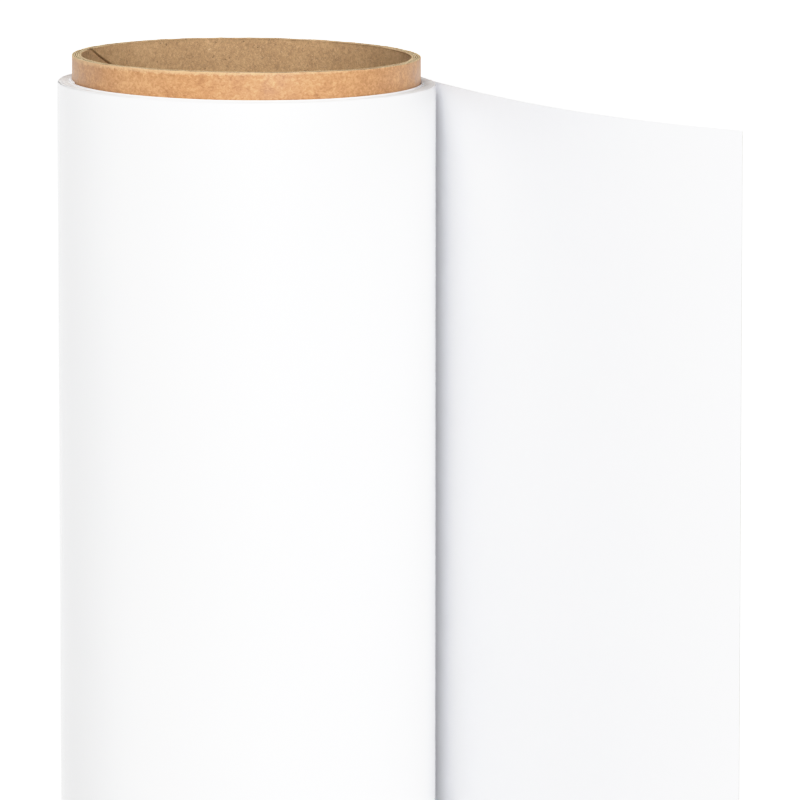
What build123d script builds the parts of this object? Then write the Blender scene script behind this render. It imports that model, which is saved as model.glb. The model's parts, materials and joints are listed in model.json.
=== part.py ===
from build123d import *
import math
import os

os.makedirs("parts", exist_ok=True)

# A roll of self-adhesive sign vinyl on a paper core, standing on one end.
# The core's axis is Z, the origin is the middle of the core's bottom end, and the free web leads off to +X and -Y.
# All lengths are in mm, all angles in degrees.

# core: a tube of spiral-wound paper plies, cut longer than the web is wide
core_bore = 76.2
ply_thickness = 0.42
body_plies = 3
core_overhang = 6.0
core_ply_total = body_plies + 2

# web: face film with its adhesive, on a release liner, wound face out
web_width = 609.6
film_thickness = 0.10
liner_thickness = 0.14
wound_turns = 11.5

# short tabs of tape that hold the web's inner end on the core
tape_thickness = 0.06
tape_width = 25.0
tape_tab_length = 48.0
tape_tab_count = 3

# outer turn, free to slip round the wound pack, and a little lower than it
running_gap = 0.10
web_drop = 1.0
leave_angle = 21.0
lap_gap_angle = 8.0
stub_length = 10.1

# free end of the web, as strips that hinge on each other
strip_count = 6
strip_length = 20.2
strip_gap = 0.30
first_bend = 1.5
bend_growth = 1.1

# sizes that follow from those above
core_bore_radius = core_bore / 2
core_radius = core_bore_radius + core_ply_total * ply_thickness
core_length = web_width + 2 * core_overhang
web_thickness = film_thickness + liner_thickness
pack_inner_radius = core_radius + tape_thickness
pack_radius = pack_inner_radius + (wound_turns + 1) * web_thickness
turn_inner_radius = pack_radius + running_gap
turn_middle_radius = turn_inner_radius + web_thickness / 2
pack_base = core_overhang
turn_base = core_overhang - web_drop
pack_end_angle = leave_angle - lap_gap_angle
pack_start_angle = pack_end_angle + wound_turns * 360
wound_growth = wound_turns * web_thickness
turn_start_angle = pack_end_angle + 360


def polar(radius, angle):
    return (radius * math.cos(math.radians(angle)), radius * math.sin(math.radians(angle)))


def arc_run(first_radius, last_radius, first_angle, last_angle):
    """A spiral or round edge as equal arcs of about 30 degrees: start, middle and end point of each."""
    arc_count = max(1, round(abs(last_angle - first_angle) / 30))
    points = []
    for half_arc in range(2 * arc_count + 1):
        share = half_arc / (2 * arc_count)
        radius = first_radius + share * (last_radius - first_radius)
        points.append(polar(radius, first_angle + share * (last_angle - first_angle)))
    return [points[2 * arc:2 * arc + 3] for arc in range(arc_count)]


# core plies, innermost first
ply_names = ["core_inner_ply"]
for body_ply in range(body_plies):
    ply_names.append("core_body_ply_" + str(body_ply + 1))
ply_names.append("core_outer_ply")

for ply, ply_name in enumerate(ply_names):
    with BuildPart() as core_ply:
        with BuildSketch(Plane.XY):
            Circle(core_bore_radius + (ply + 1) * ply_thickness)
            Circle(core_bore_radius + ply * ply_thickness, mode=Mode.SUBTRACT)
        extrude(amount=core_length)
    core_ply.part.label = ply_name
    export_step(core_ply.part, "parts/" + ply_name + ".step")

# start tape tabs, evenly spaced along the core, half of each on either side of the web's inner end
tape_half_angle = math.degrees(tape_width / 2 / core_radius)
tape_first_angle = pack_start_angle - tape_half_angle
tape_last_angle = pack_start_angle + tape_half_angle
for tab in range(tape_tab_count):
    tab_base = pack_base + web_width * (tab + 0.5) / tape_tab_count - tape_tab_length / 2
    with BuildPart() as start_tape:
        with BuildSketch(Plane.XY.offset(tab_base)):
            with BuildLine():
                Line(polar(core_radius, tape_first_angle), polar(pack_inner_radius, tape_first_angle))
                ThreePointArc(
                    polar(pack_inner_radius, tape_first_angle),
                    polar(pack_inner_radius, pack_start_angle),
                    polar(pack_inner_radius, tape_last_angle),
                )
                Line(polar(pack_inner_radius, tape_last_angle), polar(core_radius, tape_last_angle))
                ThreePointArc(
                    polar(core_radius, tape_last_angle),
                    polar(core_radius, pack_start_angle),
                    polar(core_radius, tape_first_angle),
                )
            make_face()
        extrude(amount=tape_tab_length)
    start_tape.part.label = "start_tape_" + str(tab + 1)
    export_step(start_tape.part, "parts/start_tape_" + str(tab + 1) + ".step")

# wound pack: the liner and the film on it, one spiral each
wound_layers = [
    ("wound_liner", 0, liner_thickness),
    ("wound_film", liner_thickness, web_thickness),
]
for layer_name, inner_depth, outer_depth in wound_layers:
    inner_radius = pack_inner_radius + inner_depth
    outer_radius = pack_inner_radius + outer_depth
    inner_arcs = arc_run(inner_radius, inner_radius + wound_growth, pack_start_angle, pack_end_angle)
    outer_arcs = arc_run(outer_radius, outer_radius + wound_growth, pack_start_angle, pack_end_angle)
    with BuildPart() as wound_layer:
        with BuildSketch(Plane.XY.offset(pack_base)):
            with BuildLine():
                for first, middle, last in inner_arcs + outer_arcs:
                    ThreePointArc(first, middle, last)
                Line(inner_arcs[0][0], outer_arcs[0][0])
                Line(inner_arcs[-1][2], outer_arcs[-1][2])
            make_face()
        extrude(amount=web_width)
    wound_layer.part.label = layer_name
    export_step(wound_layer.part, "parts/" + layer_name + ".step")

# outer turn of the web and the short stub that leaves it along a tangent
turn_film_radius = turn_inner_radius + liner_thickness
turn_layers = [
    ("outer_turn_liner", turn_inner_radius, turn_film_radius),
    ("outer_turn_film", turn_film_radius, turn_film_radius + film_thickness),
]
stub_step = Vector(*polar(stub_length - strip_gap / 2, leave_angle - 90))
for layer_name, inner_radius, outer_radius in turn_layers:
    inner_arcs = arc_run(inner_radius, inner_radius, turn_start_angle, leave_angle)
    outer_arcs = arc_run(outer_radius, outer_radius, turn_start_angle, leave_angle)
    inner_leave = Vector(*inner_arcs[-1][2])
    outer_leave = Vector(*outer_arcs[-1][2])
    with BuildPart() as turn_layer:
        with BuildSketch(Plane.XY.offset(turn_base)):
            with BuildLine():
                for first, middle, last in inner_arcs + outer_arcs:
                    ThreePointArc(first, middle, last)
                Line(inner_arcs[0][0], outer_arcs[0][0])
                Line(inner_leave, inner_leave + stub_step)
                Line(outer_leave, outer_leave + stub_step)
                Line(inner_leave + stub_step, outer_leave + stub_step)
            make_face()
        extrude(amount=web_width)
    turn_layer.part.label = layer_name
    export_step(turn_layer.part, "parts/" + layer_name + ".step")

# free strips: each starts on the hinge line where the one before it ends, and is bent outwards from it
hinge_point = Vector(*polar(turn_middle_radius, leave_angle)) + Vector(*polar(stub_length, leave_angle - 90))
heading = leave_angle - 90
liner_offset = (liner_thickness - web_thickness) / 2
film_offset = (web_thickness - film_thickness) / 2
for strip in range(strip_count):
    heading = heading + first_bend + strip * bend_growth
    next_point = hinge_point + Vector(*polar(strip_length, heading))
    middle = (hinge_point + next_point) * 0.5
    strip_plane = Plane(
        origin=(middle.X, middle.Y, turn_base),
        x_dir=(math.cos(math.radians(heading)), math.sin(math.radians(heading)), 0),
        z_dir=(0, 0, 1),
    )
    liner_name = "strip_" + str(strip + 1) + "_liner"
    with BuildPart() as strip_liner:
        with BuildSketch(strip_plane):
            with Locations((0, liner_offset)):
                Rectangle(strip_length - strip_gap, liner_thickness)
        extrude(amount=web_width)
    strip_liner.part.label = liner_name
    export_step(strip_liner.part, "parts/" + liner_name + ".step")

    film_name = "strip_" + str(strip + 1) + "_film"
    with BuildPart() as strip_film:
        with BuildSketch(strip_plane):
            with Locations((0, film_offset)):
                Rectangle(strip_length - strip_gap, film_thickness)
        extrude(amount=web_width)
    strip_film.part.label = film_name
    export_step(strip_film.part, "parts/" + film_name + ".step")

    hinge_point = next_point
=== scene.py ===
import bpy
import bmesh
import json
import math
import random
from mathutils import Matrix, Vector, noise


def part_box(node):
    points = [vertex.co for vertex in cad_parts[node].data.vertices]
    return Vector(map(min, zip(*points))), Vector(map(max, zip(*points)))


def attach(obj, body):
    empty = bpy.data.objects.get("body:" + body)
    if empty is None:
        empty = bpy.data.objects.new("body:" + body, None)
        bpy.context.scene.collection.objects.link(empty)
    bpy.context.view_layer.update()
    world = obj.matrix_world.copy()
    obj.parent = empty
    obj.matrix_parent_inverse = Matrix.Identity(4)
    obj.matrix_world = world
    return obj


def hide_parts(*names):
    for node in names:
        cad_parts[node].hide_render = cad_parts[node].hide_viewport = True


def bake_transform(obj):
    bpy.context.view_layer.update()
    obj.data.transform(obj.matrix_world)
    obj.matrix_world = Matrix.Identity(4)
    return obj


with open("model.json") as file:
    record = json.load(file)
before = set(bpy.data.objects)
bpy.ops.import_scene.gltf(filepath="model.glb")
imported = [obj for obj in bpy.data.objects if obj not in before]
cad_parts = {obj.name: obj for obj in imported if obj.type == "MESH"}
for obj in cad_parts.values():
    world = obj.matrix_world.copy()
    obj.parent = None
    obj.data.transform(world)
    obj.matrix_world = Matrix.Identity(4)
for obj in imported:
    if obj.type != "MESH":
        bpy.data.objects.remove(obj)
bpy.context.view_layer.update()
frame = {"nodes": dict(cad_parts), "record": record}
print("frame loaded")

random.seed(7)
mm = 0.001


def tint(colour):
    return (*colour, 1)


class Wire:
    # an output socket; an expression on it adds the Math nodes
    def __init__(self, tree, socket):
        self.tree = tree
        self.socket = socket

    def math(self, operation, first, second):
        node = self.tree.nodes.new("ShaderNodeMath")
        node.operation = operation
        for place, value in enumerate((first, second)):
            if isinstance(value, Wire):
                self.tree.links.new(value.socket, node.inputs[place])
            else:
                node.inputs[place].default_value = value
        return Wire(self.tree, node.outputs[0])

    def __add__(self, other):
        return self.math("ADD", self, other)

    def __radd__(self, other):
        return self.math("ADD", other, self)

    def __sub__(self, other):
        return self.math("SUBTRACT", self, other)

    def __rsub__(self, other):
        return self.math("SUBTRACT", other, self)

    def __mul__(self, other):
        return self.math("MULTIPLY", self, other)

    def __rmul__(self, other):
        return self.math("MULTIPLY", other, self)

    def __pow__(self, other):
        return self.math("POWER", self, other)


class NodeTree:
    # a node tree that is built up one node at a time
    def __init__(self, tree):
        self.tree = tree

    def node(self, kind, settings=None, sockets=None, output=0):
        made = self.tree.nodes.new(kind)
        for setting, value in (settings or {}).items():
            if setting == "stops":
                ramp = made.color_ramp
                while len(ramp.elements) < len(value):
                    ramp.elements.new(0.5)
                for element, (place, colour) in zip(ramp.elements, value):
                    element.position = place
                    element.color = tint(colour)
            else:
                setattr(made, setting, value)
        for socket, value in (sockets or {}).items():
            if isinstance(value, Wire):
                self.tree.links.new(value.socket, made.inputs[socket])
            else:
                made.inputs[socket].default_value = value
        return Wire(self.tree, made.outputs[output])


class Finish(NodeTree):
    # a material and the nodes behind its Principled shader
    def __init__(self, name, **constants):
        self.material = bpy.data.materials.new(name)
        self.material.use_nodes = True
        super().__init__(self.material.node_tree)
        self.shader = self.tree.nodes["Principled BSDF"]
        for socket, value in constants.items():
            self.shader.inputs[socket.replace("_", " ")].default_value = value

    def place(self, stretch=(1, 1, 1)):
        # where a point is on the piece, in metres, pulled out along an axis by a small stretch value
        spot = self.node("ShaderNodeTexCoord", output="Object")
        if tuple(stretch) == (1, 1, 1):
            return spot
        return self.node("ShaderNodeVectorMath", {"operation": "MULTIPLY"}, {0: spot, 1: stretch})

    def sheetPlace(self, stretch=(1, 1, 1)):
        # along the web and across it, in metres
        spot = self.node("ShaderNodeUVMap", {"uv_map": "web"})
        return self.node("ShaderNodeVectorMath", {"operation": "MULTIPLY"}, {0: spot, 1: stretch})

    def grain(self, spot, size, detail=2, roughness=0.5, distortion=0.0):
        # noise whose blotches are about size metres across
        return self.node(
            "ShaderNodeTexNoise", {}, {"Vector": spot, "Scale": 1 / size, "Detail": detail,
                                       "Roughness": roughness, "Distortion": distortion})

    def ramp(self, value, stops):
        return self.node("ShaderNodeValToRGB", {"stops": stops}, {"Fac": value})

    def band(self, value, low, high, toLow=0.0, toHigh=1.0):
        # low to high becomes toLow to toHigh, and stays there outside
        return self.node("ShaderNodeMapRange", {"clamp": True}, {
            "Value": value, "From Min": low, "From Max": high, "To Min": toLow, "To Max": toHigh})

    def blendColour(self, share, first, second, kind="MIX"):
        return self.node("ShaderNodeMix", {"data_type": "RGBA", "blend_type": kind},
                         {0: share, 6: first, 7: second}, output=2)

    def feed(self, **sockets):
        for socket, wire in sockets.items():
            self.tree.links.new(wire.socket, self.shader.inputs[socket.replace("_", " ")])
        return self.material

    def bump(self, height, depth, strength=1.0):
        return self.node("ShaderNodeBump", {}, {"Height": height, "Distance": depth, "Strength": strength})


filmLook = {
    "colour": (0.905, 0.907, 0.91),
    "thin": (0.885, 0.889, 0.894),
    "roughness": 0.24,
}


def makeFilm():
    film = Finish("glossFilm", IOR=1.5, Specular_IOR_Level=0.4)
    spot = film.place()
    peel = film.grain(spot, 1.6 * mm, detail=1)
    cloud = film.grain(spot, 60 * mm, detail=2)
    dust = film.band(film.grain(spot, 0.5 * mm, detail=3), 0.70, 0.80)
    colour = film.blendColour(film.band(cloud, 0.35, 0.65), tint(filmLook["thin"]), tint(filmLook["colour"]))
    colour = film.blendColour(dust * 0.05, colour, (0.55, 0.54, 0.52, 1))
    rough = film.band(cloud, 0.3, 0.7, filmLook["roughness"] - 0.02, filmLook["roughness"] + 0.03) + dust * 0.08
    return film.feed(Base_Color=colour, Roughness=rough, Normal=film.bump(peel, 0.004 * mm))


linerLook = {
    "colour": (0.925, 0.93, 0.955),
    "cloud": (0.91, 0.915, 0.942),
    "roughness": 0.46,
}


def makeLiner():
    liner = Finish("releaseLiner", IOR=1.45)
    along = liner.sheetPlace((1, 1, 1))
    cloud = liner.grain(along, 3.5 * mm, detail=4, roughness=0.6)
    broad = liner.grain(along, 45 * mm, detail=2)
    fibre = liner.grain(liner.sheetPlace((0.35, 1, 1)), 0.35 * mm, detail=3, roughness=0.6)
    shade = liner.band(cloud * 0.6 + broad * 0.4, 0.35, 0.65)
    colour = liner.blendColour(shade, tint(linerLook["cloud"]), tint(linerLook["colour"]))
    rough = liner.band(cloud, 0.3, 0.7, linerLook["roughness"] - 0.05, linerLook["roughness"] + 0.07)
    return liner.feed(Base_Color=colour, Roughness=rough, Normal=liner.bump(fibre, 0.006 * mm))


edgeLook = {
    "film": (0.88, 0.88, 0.885),
    "glueLine": (0.80, 0.80, 0.81),
    "paper": (0.83, 0.825, 0.815),
    "fibre": (0.88, 0.875, 0.86),
    "paintedRingHighlight": (0.97, 0.97, 0.975),
    # the brighter white of the first turns' edges is a painted highlight
    "paintedRingHighlightTo": 40.85 * mm,
    # a darker grey-green tone for the cut edges of the free end
    "darkFreeEdge": (0.54, 0.55, 0.495),
    "darkFreeEdgeFrom": 43.8 * mm,
}


def ringShade(edge, first, second, share):
    # turns of the pack differ a little, and the edges of the first two are painted brighter white, a painted
    # highlight where the proud first turns catch the light
    spot = edge.node("ShaderNodeSeparateXYZ", {}, {0: edge.place()}, output=0)
    spotY = edge.node("ShaderNodeSeparateXYZ", {}, {0: edge.place()}, output=1)
    radius = (spot * spot + spotY * spotY) ** 0.5
    turnTone = edge.node("ShaderNodeTexNoise", {"noise_dimensions": "1D"},
                         {"W": radius, "Scale": 1 / (0.5 * mm), "Detail": 2})
    share = edge.band(share * 0.45 + turnTone * 0.55, 0.36, 0.64)
    # painted highlight: the edges of the first turns are painted brighter white
    paintedRingHighlight = edge.band(radius, edgeLook["paintedRingHighlightTo"], edgeLook["paintedRingHighlightTo"] + 0.15 * mm, 1, 0)
    colour = edge.blendColour(paintedRingHighlight, edge.blendColour(share, tint(first), tint(second)), tint(edgeLook["paintedRingHighlight"]))
    # the cut edges of the free end, out past the turns, are darker and grey-green
    darkFreeEdge = edge.band(radius, edgeLook["darkFreeEdgeFrom"], edgeLook["darkFreeEdgeFrom"] + 3 * mm)
    return edge.blendColour(darkFreeEdge, colour, tint(edgeLook["darkFreeEdge"]))


def makeFilmEdge():
    edge = Finish("filmEdge", IOR=1.5)
    chatter = edge.grain(edge.place((1, 1, 0.2)), 0.25 * mm, detail=2)
    worn = edge.grain(edge.place(), 7 * mm, detail=3)
    colour = ringShade(edge, edgeLook["film"], edgeLook["glueLine"], worn)
    rough = edge.band(chatter, 0.3, 0.7, 0.35, 0.6)
    return edge.feed(Base_Color=colour, Roughness=rough, Normal=edge.bump(chatter, 0.01 * mm))


def makeLinerEdge():
    edge = Finish("linerEdge", IOR=1.45)
    fibre = edge.grain(edge.place(), 0.12 * mm, detail=3, roughness=0.7)
    worn = edge.grain(edge.place(), 5 * mm, detail=3)
    colour = ringShade(edge, edgeLook["paper"], edgeLook["fibre"], fibre * 0.5 + worn * 0.5)
    rough = edge.band(fibre, 0.3, 0.7, 0.7, 0.95)
    return edge.feed(Base_Color=colour, Roughness=rough, Normal=edge.bump(fibre, 0.03 * mm))


kraftLook = {
    "deep": (0.38, 0.175, 0.066),
    "mid": (0.50, 0.258, 0.108),
    "pale": (0.61, 0.35, 0.165),
    # worn: the paler colour of the painted highlight along the top cut edge
    "worn": (0.74, 0.53, 0.31),
    "roughness": 0.44,
}


def makeKraft(topHeight):
    kraft = Finish("kraftPly", IOR=1.48, Specular_IOR_Level=0.35, Coat_Roughness=0.38)
    mottle = kraft.grain(kraft.place(), 2.6 * mm, detail=4, roughness=0.62, distortion=0.4)
    fine = kraft.grain(kraft.place((1, 1, 1.3)), 0.8 * mm, detail=4, roughness=0.68, distortion=0.8)
    broad = kraft.grain(kraft.place(), 22 * mm, detail=2)
    shade = mottle * 0.3 + fine * 0.57 + broad * 0.13
    colour = kraft.ramp(shade, [(0.38, kraftLook["deep"]), (0.50, kraftLook["mid"]), (0.61, kraftLook["pale"])])
    # painted highlight: the last half millimetre below the cut edge is painted paler, standing in for the light that
    # the rounded edge catches
    height = kraft.node("ShaderNodeSeparateXYZ", {}, {0: kraft.place()}, output=2)
    paintedHighlightBand = kraft.band(height + (fine - 0.5) * 0.0016, topHeight - 0.75 * mm, topHeight - 0.1 * mm)
    colour = kraft.blendColour(paintedHighlightBand * 0.5, colour, tint(kraftLook["worn"]))
    rough = kraft.band(mottle, 0.3, 0.7, kraftLook["roughness"] - 0.05, kraftLook["roughness"] + 0.10) + paintedHighlightBand * 0.2
    gloss = kraft.band(mottle, 0.3, 0.7, 0.16, 0.05)
    return kraft.feed(Base_Color=colour, Roughness=rough, Coat_Weight=gloss,
                      Normal=kraft.bump(fine + mottle * 0.5, 0.03 * mm, 0.8))


boardLook = {
    "deep": (0.33, 0.20, 0.10),
    "mid": (0.525, 0.325, 0.160),
    "pale": (0.70, 0.465, 0.25),
    "glued": (0.30, 0.19, 0.12),
    "speck": (0.13, 0.075, 0.04),
    "lint": (0.86, 0.68, 0.44),
    "roughness": 0.84,
}


def makeBoard(name, glued):
    # a glued ply, which shows only in the joint of the ply over it, is darker
    board = Finish(name, IOR=1.45)
    mottle = board.grain(board.place(), 1.5 * mm, detail=5, roughness=0.7, distortion=0.8)
    fine = board.grain(board.place((1.3, 1.3, 1)), 0.5 * mm, detail=4, roughness=0.72, distortion=1.2)
    broad = board.grain(board.place(), 14 * mm, detail=3)
    shade = mottle * 0.26 + fine * 0.56 + broad * 0.18
    colour = board.ramp(shade, [(0.38, boardLook["deep"]), (0.50, boardLook["mid"]), (0.62, boardLook["pale"])])
    specks = board.band(board.grain(board.place(), 1.1 * mm, detail=3, roughness=0.7), 0.645, 0.70)
    lint = board.band(board.grain(board.place((1, 1, 2.6)), 0.9 * mm, detail=3, distortion=2.2), 0.64, 0.72)
    colour = board.blendColour(specks * 0.75, colour, tint(boardLook["speck"]))
    colour = board.blendColour(lint * 0.55, colour, tint(boardLook["lint"]))
    if glued:
        colour = board.blendColour(0.85, colour, tint(boardLook["glued"]), "MULTIPLY")
    rough = board.band(fine, 0.3, 0.7, boardLook["roughness"] - 0.08, boardLook["roughness"] + 0.1)
    return board.feed(Base_Color=colour, Roughness=rough,
                      Normal=board.bump(fine + mottle * 0.7 + lint * 0.4, 0.07 * mm, 0.9))


cutLook = {
    "deep": (0.58, 0.44, 0.25),
    "mid": (0.73, 0.58, 0.335),
    "pale": (0.86, 0.72, 0.46),
}


def makeCut():
    cut = Finish("cutPaper", IOR=1.45)
    pulp = cut.grain(cut.place(), 0.5 * mm, detail=4, roughness=0.7, distortion=0.8)
    broad = cut.grain(cut.place(), 6 * mm, detail=3)
    colour = cut.ramp(pulp * 0.65 + broad * 0.35,
                      [(0.36, cutLook["deep"]), (0.48, cutLook["mid"]), (0.62, cutLook["pale"])])
    rough = cut.band(pulp, 0.3, 0.7, 0.8, 0.98)
    return cut.feed(Base_Color=colour, Roughness=rough, Normal=cut.bump(pulp, 0.1 * mm))


def makeTape():
    tape = Finish("clearTape", IOR=1.47)
    creases = tape.grain(tape.place((1, 1, 0.1)), 1.2 * mm, detail=2)
    colour = tape.blendColour(tape.band(creases, 0.3, 0.7), (0.72, 0.66, 0.50, 1), (0.80, 0.75, 0.60, 1))
    rough = tape.band(creases, 0.3, 0.7, 0.18, 0.34)
    return tape.feed(Base_Color=colour, Roughness=rough, Normal=tape.bump(creases, 0.01 * mm))


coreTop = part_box("core_outer_ply")[1].z
filmFinish = makeFilm()
linerFinish = makeLiner()
filmEdgeFinish = makeFilmEdge()
linerEdgeFinish = makeLinerEdge()
kraftFinish = makeKraft(coreTop)
boardFinish = makeBoard("chipboardPly", False)
gluedFinish = makeBoard("gluedPly", True)
cutFinish = makeCut()
tapeFinish = makeTape()
print("materials made")


def addPiece(name, points, faces, materials, materialOfFace=None, uvs=None, sharpEdge=None, smooth=True):
    mesh = bpy.data.meshes.new(name)
    mesh.from_pydata(points, [], faces)
    for material in materials:
        mesh.materials.append(material)
    if materialOfFace:
        mesh.polygons.foreach_set("material_index", materialOfFace)
    mesh.polygons.foreach_set("use_smooth", [smooth] * len(faces))
    if sharpEdge:
        sharp = mesh.attributes.new("sharp_edge", "BOOLEAN", "EDGE")
        sharp.data.foreach_set("value", [bool(sharpEdge(*edge.vertices)) for edge in mesh.edges])
    layer = mesh.uv_layers.new(name="web")
    if uvs:
        flat = []
        for loop in mesh.loops:
            flat.extend(uvs[loop.vertex_index])
        layer.data.foreach_set("uv", flat)
    mesh.validate()
    mesh.update()
    piece = bpy.data.objects.new(name, mesh)
    bpy.context.scene.collection.objects.link(piece)
    return piece


def sharpenByAngle(piece, degrees):
    # smooth within a face of the piece and crisp where two meet, with doubled points joined first
    shell = bmesh.new()
    shell.from_mesh(piece.data)
    bmesh.ops.remove_doubles(shell, verts=shell.verts, dist=0.002 * mm)
    bmesh.ops.dissolve_degenerate(shell, edges=shell.edges, dist=0.001 * mm)
    for edge in shell.edges:
        edge.smooth = edge.is_manifold and edge.calc_face_angle(0) < math.radians(degrees)
    shell.to_mesh(piece.data)
    shell.free()


def wobble(x, y=0.0, z=0.0):
    return noise.noise(Vector((x, y, z)))


core = {
    "bore": frame["record"]["mounts"][0]["dims"]["r_mm"] * mm,
    "ply": 0.42 * mm,
    "columns": 150,
    "edgeRound": 0.09 * mm,
    "sawWave": 0.05 * mm,
    "sawTear": 0.07 * mm,
    "outOfSquare": 0.37 * mm,
    "sag": 0.16 * mm,
    # every ply is a strip of paper wound round in a helix with a butt joint
    "stripPitch": 110 * mm,
    "jointAtTop": (160, 20, 250, 130, 66),
    "jointGap": (0.7 * mm, 0.2 * mm, 0.2 * mm, 0.2 * mm, 0.12 * mm),
    "jointLip": 0.14 * mm,
    "lipWidth": 0.7 * mm,
}
plyNames = ["core_inner_ply", "core_body_ply_1", "core_body_ply_2", "core_body_ply_3", "core_outer_ply"]
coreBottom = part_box("core_outer_ply")[0].z


def coreCut(angle):
    # the core's ends are sawn a little lower on the +X side
    return -core["outOfSquare"] * math.cos(angle) - core["sag"] * math.cos(angle) ** 2


def plyEdge(angle, ply, end):
    # how far a ply's cut end stands from its nominal height
    ringX, ringY = math.cos(angle) * 14, math.sin(angle) * 14
    slow = wobble(ringX * 0.25, ringY * 0.25, end * 9.1) * core["sawWave"]
    own = wobble(ringX * 0.9, ringY * 0.9, ply * 3.7 + end * 9.1) * core["sawTear"]
    fine = wobble(ringX * 5.5, ringY * 5.5, ply * 5.3 + end * 9.1) * core["sawTear"] * 0.8
    return slow + own + fine


def makePly(ply, name):
    inner = core["bore"] + ply * core["ply"]
    outer = inner + core["ply"] - 0.005 * mm
    pitch, gap, edgeRound = core["stripPitch"], core["jointGap"][ply], core["edgeRound"]
    # how far up the strip each row of points is: close together at its two edges and at the cut ends
    near = [0, 0.06, 0.16, 0.32, 0.55, 0.9, 1.6, 4]
    ups = [up * mm for up in near] + [pitch * part / 12 for part in range(1, 12)]
    ups += [pitch - gap - up * mm for up in reversed(near)]
    arc = [math.radians(turn) for turn in (30, 60, 90)]
    rows = len(ups) + 2 * len(arc)
    count = math.ceil(((coreTop - coreBottom) / pitch + 1) * core["columns"])
    points, uvs = [], []
    for column in range(count + 1):
        turned = 2 * math.pi * column / core["columns"]
        angle = math.radians(core["jointAtTop"][ply]) - turned
        stripLow = coreTop - pitch * turned / (2 * math.pi)
        high = coreTop + coreCut(angle) + plyEdge(angle, ply, 1) - edgeRound
        low = coreBottom + abs(plyEdge(angle, ply, 0)) * 0.6 + edgeRound
        # height, wear at the sawn ends, lift beside the joint
        levels = [(min(max(stripLow + up, low), high), 0,
                   core["jointLip"] * math.exp(-(pitch - gap - up) / core["lipWidth"])) for up in ups]
        atTop, atBottom = levels[-1][0] >= high, levels[0][0] <= low
        for turn in arc:
            worn, up = edgeRound * (1 - math.cos(turn)), edgeRound * math.sin(turn)
            levels.append((high + up, worn, 0) if atTop else levels[len(ups) - 1])
        for turn in arc:
            worn, up = edgeRound * (1 - math.cos(turn)), edgeRound * math.sin(turn)
            levels.insert(0, (low - up, worn, 0) if atBottom else levels[0])
        for wall in (0, 1):
            for z, worn, lift in levels:
                radius = outer - worn if wall else inner + worn
                # the strip's upper edge stands a little proud of the bore
                if ply == 0 and wall == 0:
                    radius -= lift
                points.append((radius * math.cos(angle), radius * math.sin(angle), z))
                uvs.append((-angle * radius, z))
    faces, index = [], []

    def corner(column, wall, row):
        return (column * 2 + wall) * rows + row

    for column in range(count):
        for row in range(rows - 1):
            flat = [points[corner(side, 0, row)] == points[corner(side, 0, row + 1)] for side in (column, column + 1)]
            if all(flat):
                continue
            faces.append((corner(column, 0, row), corner(column, 0, row + 1),
                          corner(column + 1, 0, row + 1), corner(column + 1, 0, row)))
            faces.append((corner(column, 1, row), corner(column + 1, 1, row),
                          corner(column + 1, 1, row + 1), corner(column, 1, row + 1)))
            index.extend((0, 0))
        # the strip's lower and upper edges, which are the sawn ends where it is cut off
        for row in (0, rows - 1):
            edge = (corner(column, 0, row), corner(column + 1, 0, row),
                    corner(column + 1, 1, row), corner(column, 1, row))
            faces.append(edge if row == 0 else tuple(reversed(edge)))
            index.append(1)
    walls = {0: boardFinish, 4: kraftFinish}.get(ply, gluedFinish)
    piece = addPiece(name + "_paper", points, faces, [walls, cutFinish], index, uvs)
    sharpenByAngle(piece, 40)
    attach(piece, "roll")
    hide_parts(name)
    return piece


for ply, plyName in enumerate(plyNames):
    makePly(ply, plyName)
print("core plies wound")


fuzz = {
    "count": 900,
    "length": (0.25 * mm, 0.8 * mm),
    "thick": 0.022 * mm,
}


def makeFuzz():
    # loose fibres on the two sawn ends
    points, faces = [], []
    for fibre in range(fuzz["count"]):
        angle = random.uniform(0, 2 * math.pi)
        atTop = fibre % 2 == 0
        ply = random.choice([0, 0, 1, 2, 3, 4, 4])
        radius = core["bore"] + (ply + random.uniform(0.05, 0.95)) * core["ply"]
        z = coreTop + coreCut(angle) + plyEdge(angle, ply, 1) if atTop else coreBottom + 0.05 * mm
        length = random.uniform(*fuzz["length"])
        lean = Vector((random.gauss(0, 1), random.gauss(0, 1), 0))
        lift = abs(random.gauss(0.35, 0.3)) if atTop else random.uniform(0.0, 0.25)
        way = Vector((lean.x, lean.y, lift * lean.length if atTop else lift)).normalized()
        bend = Vector((random.gauss(0, 0.4), random.gauss(0, 0.4), random.gauss(0, 0.15 if atTop else 0.0)))
        start = Vector((radius * math.cos(angle), radius * math.sin(angle), z - 0.03 * mm if atTop else z))
        side = way.cross(Vector((0.3, 0.2, 1))).normalized()
        other = way.cross(side).normalized()
        base = len(points)
        for step in range(4):
            share = step / 3
            centre = start + way * length * share + bend * length * 0.5 * share * share
            width = fuzz["thick"] * (1 - 0.75 * share)
            for corner in range(3):
                turn = corner * 2 * math.pi / 3
                point = centre + side * width * math.cos(turn) + other * width * math.sin(turn)
                points.append((point.x, point.y, max(point.z, coreBottom + 0.01 * mm)))
        for step in range(3):
            for corner in range(3):
                here, there = base + step * 3 + corner, base + step * 3 + (corner + 1) % 3
                faces.append((here, there, there + 3, here + 3))
        faces.append((base, base + 2, base + 1))
        faces.append((base + 9, base + 10, base + 11))
    piece = addPiece("core_end_fibres", points, faces, [cutFinish])
    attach(piece, "roll")
    return piece


makeFuzz()
for tab in ("start_tape_1", "start_tape_2", "start_tape_3"):
    frame["nodes"][tab].data.materials.clear()
    frame["nodes"][tab].data.materials.append(tapeFinish)
print("core ends roughened")


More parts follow.
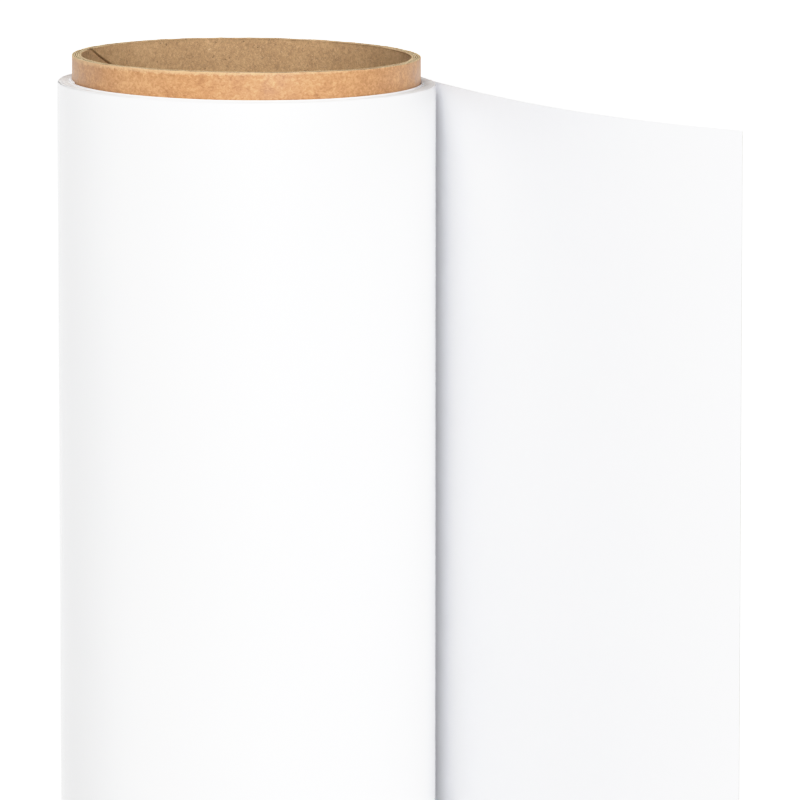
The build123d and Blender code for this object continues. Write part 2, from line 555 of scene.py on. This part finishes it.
web = {
    "width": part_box("wound_film")[1].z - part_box("wound_film")[0].z,
    "film": 0.10 * mm,
    "liner": 0.14 * mm,
    "turns": 11.5,
    "firstRadius": core["bore"] + 5 * core["ply"] + 0.06 * mm,
    "runningGap": 0.10 * mm,
    "leaveAngle": 21,
    "lapGap": 8,
    "stripLength": 20.2 * mm,
    "strips": 6,
    "firstBend": 1.5,
    "bendGrowth": 1.1,
}
pack = {
    "endLow": 0.52 * mm,
    "endTilt": 0.45 * mm,
    "endCup": 0.30 * mm,
    "top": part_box("wound_film")[1].z,
    "bottom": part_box("wound_film")[0].z,
    "stepsPerTurn": 96,
    "firstTurnProud": 0.50 * mm,
    "telescope": 0.10 * mm,
    "slip": 0.46 * mm,
}
webThickness = web["film"] + web["liner"]
packEndAngle = web["leaveAngle"] - web["lapGap"]


def ribbon(name, stations, depthIn, depthOut, lowZ, highZ, ups, materials, sway=None):
    # a closed band that follows the stations, each a point, an outward direction and a distance along
    # depths are from the liner's back
    rows = len(ups)
    loop = 2 * rows
    points, uvs = [], []
    for station, (point, outward, along) in enumerate(stations):
        low, high = lowZ(station, along), highZ(station, along)
        for side, depth in ((0, depthIn), (1, depthOut)):
            for up in ups if side == 0 else reversed(ups):
                z = low + (high - low) * up
                shift = sway(station, along, min(high - z, z - low), z) if sway else 0
                spot = point + outward * (depth + shift)
                points.append((spot.x, spot.y, z))
                uvs.append((along, z))
    faces, index = [], []
    for station in range(len(stations) - 1):
        here, there = station * loop, (station + 1) * loop
        for step in range(loop):
            after = (step + 1) % loop
            faces.append((here + step, here + after, there + after, there + step))
            index.append(1 if step in (rows - 1, loop - 1) else 0)
    last = (len(stations) - 1) * loop
    for row in range(rows - 1):
        mate = loop - 1 - row
        faces.append((row, mate, mate - 1, row + 1))
        faces.append((last + row, last + row + 1, last + mate - 1, last + mate))
        index.extend((1, 1))
    corners = (0, rows - 1, rows, loop - 1)

    def isSharp(first, second):
        firstStation, firstStep = divmod(first, loop)
        if firstStep == second % loop:
            return firstStep in corners
        return firstStation in (0, len(stations) - 1)

    return addPiece(name, points, faces, materials, index, uvs, isSharp)


def packEnd(angle):
    # the pack's ends lean a little: high on the -X side, low at the front and where the web leaves
    return -pack["endLow"] - pack["endTilt"] * math.cos(angle) + pack["endCup"] * math.cos(angle) ** 2


def edgeRows():
    # rows close together near both edges of the web, where it may flare
    close = [0, 0.3 * mm, 0.9 * mm, 2 * mm]
    near = [up / web["width"] for up in close]
    return near + [part / 10 for part in range(1, 10)] + [1 - up for up in reversed(near)]


def turnLift(turns):
    # how far each turn stands proud of or below the pack's end
    first = pack["firstTurnProud"] * max(0, 1 - turns / 1.15) ** 0.6
    telescope = pack["telescope"]
    return first + wobble(turns * 0.9, 3.3) * telescope * 1.6 + wobble(turns * 3.1, 8.8) * telescope * 0.6


def makePack():
    steps = round(web["turns"] * pack["stepsPerTurn"])
    stations, angles = [], []
    along = 0.0
    for step in range(steps + 1):
        turns = step / pack["stepsPerTurn"]
        angle = math.radians(packEndAngle + (web["turns"] - turns) * 360)
        radius = web["firstRadius"] + webThickness * turns
        outward = Vector((math.cos(angle), math.sin(angle), 0))
        stations.append((outward * radius, outward, along))
        angles.append((angle, turns))
        along += 2 * math.pi * radius / pack["stepsPerTurn"]

    def lift(station):
        angle, turns = angles[station]
        return packEnd(angle) + turnLift(turns)

    def flare(station, along, inward, z):
        # at the very edge the turns open out evenly to fill the slack below the outer turn
        turns = angles[station][1]
        outermost = turns + math.floor(web["turns"] - turns + 1e-6)
        slack = webThickness * (web["turns"] - outermost) + 0.01 * mm
        return slack * turns / outermost * math.exp(-inward / (0.7 * mm))

    layers = (
        ("wound_liner", 0, web["liner"], [linerFinish, linerEdgeFinish], "release_liner", -0.03 * mm),
        ("wound_film", web["liner"], webThickness, [filmFinish, filmEdgeFinish], "face_film", 0),
    )
    for node, depthIn, depthOut, materials, slotName, trim in layers:
        piece = ribbon(node + "_spiral", stations, depthIn, depthOut,
                       lambda station, along, trim=trim: pack["bottom"] + lift(station) - trim,
                       lambda station, along, trim=trim: pack["top"] + lift(station) + trim,
                       edgeRows(), materials, flare)
        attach(piece, "roll")
        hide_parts(node)


makePack()
print("pack wound")


freeEnd = {
    "stepsPerStrip": 20,
    "rows": 15,
    "tip": 12.1 * mm,
    "ripple": 0.16 * mm,
    "turnTop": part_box("outer_turn_film")[1].z,
    "turnBottom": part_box("outer_turn_film")[0].z,
}
turnInner = web["firstRadius"] + (web["turns"] + 1) * webThickness + web["runningGap"]


def heading(along):
    # the free end turns outwards faster and faster, strip by strip
    strips = along / web["stripLength"]
    growth = web["bendGrowth"] / 2
    return math.radians(web["leaveAngle"] - 90 + (web["firstBend"] - growth) * strips + growth * strips ** 2)


def freeStations(total):
    # points along the liner's back from where the web leaves the roll
    leave = math.radians(web["leaveAngle"])
    middle = Vector((math.cos(leave), math.sin(leave), 0)) * (turnInner + webThickness / 2)
    step = web["stripLength"] / freeEnd["stepsPerStrip"]
    stations = []
    for count in range(round(total / step) + 1):
        along = count * step
        way = heading(along)
        outward = Vector((-math.sin(way), math.cos(way), 0))
        stations.append((middle - outward * webThickness / 2, outward, along))
        ahead = heading(along + step / 2)
        middle = middle + Vector((math.cos(ahead), math.sin(ahead), 0)) * step
    return stations


def ripple(station, along, inward, z):
    # the free end isn't quite flat: long soft waves that die out at the roll
    free = min(1, max(0, along / (60 * mm))) ** 1.5
    return free * freeEnd["ripple"] * (wobble(along * 9, z * 5.5, 1.7) + 0.4 * wobble(along * 30, z * 14, 5.1))


def makeOuterTurn():
    sweep = 360 - web["lapGap"]
    count = round(pack["stepsPerTurn"] * 2 * sweep / 360)
    stations, angles = [], []
    length = math.radians(sweep) * turnInner
    for step in range(count + 1):
        share = step / count
        angle = math.radians(web["leaveAngle"] + sweep * (1 - share))
        outward = Vector((math.cos(angle), math.sin(angle), 0))
        stations.append((outward * turnInner, outward, length * (share - 1)))
        angles.append((angle, share))

    def drop(station):
        # the edge keeps to the pack's at first and slips to the free end's height
        angle, share = angles[station]
        packEdge = pack["top"] + packEnd(angle) + turnLift(web["turns"] + share)
        leaving = freeEnd["turnTop"]
        settled = packEdge - pack["slip"] * share ** 2
        blendIn = max(0, (share - 0.88) / 0.12) ** 2
        return settled * (1 - blendIn) + leaving * blendIn

    def tuckIn(station, along, inward, z):
        # its edge leans in towards the pack, but never touches it
        return -0.07 * mm * math.exp(-inward / (0.7 * mm)) * min(1, (1 - angles[station][1]) / 0.1)

    made = []
    for node, depthIn, depthOut, materials, slotName in layersOfWeb:
        piece = ribbon("last_turn_" + node, stations, depthIn, depthOut,
                       lambda station, along: drop(station) - web["width"],
                       lambda station, along: drop(station),
                       edgeRows(), materials, tuckIn)
        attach(piece, "web_turn")
        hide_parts("outer_turn_" + node)
        made.append(piece)
    return made


def makeFreeEnd():
    total = web["stripLength"] * web["strips"] + freeEnd["tip"]
    stations = freeStations(total)
    perStrip = freeEnd["stepsPerStrip"]
    for node, depthIn, depthOut, materials, slotName in layersOfWeb:
        for bend in range(web["strips"] + 1):
            part = stations[bend * perStrip:(bend + 1) * perStrip + 1]
            atTip = bend == web["strips"]
            name = "free_end_" + node + ("_tip" if atTip else "_bend_" + str(bend + 1))
            piece = ribbon(name, part, depthIn, depthOut,
                           lambda station, along: freeEnd["turnBottom"],
                           lambda station, along: freeEnd["turnTop"],
                           [row / (freeEnd["rows"] - 1) for row in range(freeEnd["rows"])], materials, ripple)
            if atTip:
                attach(piece, "strip_" + str(bend))
            else:
                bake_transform(piece)
                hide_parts("strip_" + str(bend + 1) + "_" + node)
            length = part[-1][2] - part[0][2]
            "last_turn_" + node


layersOfWeb = (
    ("liner", 0, web["liner"], [linerFinish, linerEdgeFinish], "release_liner"),
    ("film", web["liner"], webThickness, [filmFinish, filmEdgeFinish], "face_film"),
)
makeOuterTurn()
makeFreeEnd()
print("outer turn and free end made")


studio = {
    "floorColour": (0.30, 0.30, 0.30),
    # the floor glows softly, more and more towards the back and far away, where it meets the sky
    "glowNear": 0.57,
    "glowFar": 1.47,
    "skyHigh": (0.16, 0.163, 0.17),
    "skyLow": (1.47, 1.47, 1.47),
    "lamps": (
        # name, place, aim, size across and up, watts
        ("keyPanel", (0.8, -2.5, 1.4), (0, 0, 0.45), (1.4, 1.6), 53),
        ("fillPanel", (-0.1, -2.7, 1.3), (0, 0, 0.45), (1.4, 1.6), 14),
        ("topPanel", (-0.6, -0.45, 2.6), (0, 0, 0.4), (1.6, 1.6), 33),
    ),
}


def makeFloor():
    floorMaterial = Finish("studioFloor", Roughness=0.9, Emission_Strength=1.0)
    spot = floorMaterial.place()
    shade = floorMaterial.band(floorMaterial.grain(spot, 0.4, detail=2), 0.3, 0.7)
    pale = studio["floorColour"]
    colour = floorMaterial.blendColour(shade, tint([c * 0.99 for c in pale]), tint(pale))
    back = floorMaterial.node("ShaderNodeSeparateXYZ", {}, {0: spot}, output=1)
    away = floorMaterial.node("ShaderNodeVectorMath", {"operation": "LENGTH"}, {0: spot}, output=1)
    share = floorMaterial.band(floorMaterial.band(back, 0.4, 2.2) + floorMaterial.band(away, 2.5, 8.0), 0, 1)
    glow = floorMaterial.blendColour(share, tint([studio["glowNear"]] * 3), tint([studio["glowFar"]] * 3))
    material = floorMaterial.feed(Base_Color=colour, Emission_Color=glow)
    points, faces = [], []
    rings = (0, 0.5, 2, 8, 30, 90)
    for radius in rings:
        for corner in range(48):
            turn = corner * 2 * math.pi / 48
            points.append((radius * math.cos(turn), radius * math.sin(turn), coreBottom))
    for ring in range(1, len(rings)):
        for corner in range(48):
            after = (corner + 1) % 48
            inner, outer = (ring - 1) * 48, ring * 48
            if ring == 1:
                faces.append((0, outer + corner, outer + after))
            else:
                faces.append((inner + corner, outer + corner, outer + after, inner + after))
    floor = addPiece("studio_floor", points, faces, [material], smooth=False)


def makeSky():
    world = bpy.data.worlds.new("studioSky")
    bpy.context.scene.world = world
    world.use_nodes = True
    sky = NodeTree(world.node_tree)
    way = sky.node("ShaderNodeTexCoord", output="Generated")
    height = sky.node("ShaderNodeSeparateXYZ", {}, {0: way}, output=2)
    share = sky.node("ShaderNodeMapRange", {}, {"Value": height, "From Min": 0.02, "From Max": 0.07})
    colour = sky.node("ShaderNodeMix", {"data_type": "RGBA"},
                      {0: share, 6: tint(studio["skyLow"]), 7: tint(studio["skyHigh"])}, output=2)
    sky.tree.links.new(colour.socket, sky.tree.nodes["Background"].inputs["Color"])


def makeLamps():
    for name, spot, aim, size, watts in studio["lamps"]:
        lamp = bpy.data.lights.new(name, "AREA")
        lamp.shape = "RECTANGLE"
        lamp.size, lamp.size_y = size
        lamp.energy = watts
        holder = bpy.data.objects.new(name, lamp)
        holder.location = spot
        holder.rotation_euler = (Vector(aim) - Vector(spot)).to_track_quat("-Z", "Y").to_euler()
        holder.visible_camera = False
        bpy.context.scene.collection.objects.link(holder)


view = {
    "place": (0.03535, -2.0373, 0.82944),
    "down": 8.049,
    "lens": 400.0,
    # scene light in, display light out: straight to three quarters, then a soft shoulder
    "white": 1.41,
    "shoulder": ((0.76, 0.76), (0.86, 0.83), (0.98, 0.89), (1.10, 0.94), (1.23, 0.965), (1.41, 1.0)),
}


def makeCamera():
    camera = bpy.data.cameras.new("camera")
    camera.lens = view["lens"]
    camera.sensor_width = 36
    camera.clip_start = 0.05
    camera.clip_end = 300
    holder = bpy.data.objects.new("camera", camera)
    holder.location = view["place"]
    holder.rotation_euler = (math.radians(90 - view["down"]), 0, 0)
    bpy.context.scene.collection.objects.link(holder)
    bpy.context.scene.camera = holder
    settings = bpy.context.scene.view_settings
    settings.view_transform = "Standard"
    settings.look = "None"
    settings.use_curve_mapping = True
    curves = settings.curve_mapping
    curves.white_level = (view["white"],) * 3
    shoulder = curves.curves[3]
    for light, shown in view["shoulder"][:-1]:
        shoulder.points.new(light / view["white"], shown)
    for point in shoulder.points[:2]:
        point.handle_type = "VECTOR"
    curves.update()


makeFloor()
makeSky()
makeLamps()
makeCamera()
print("studio lit")
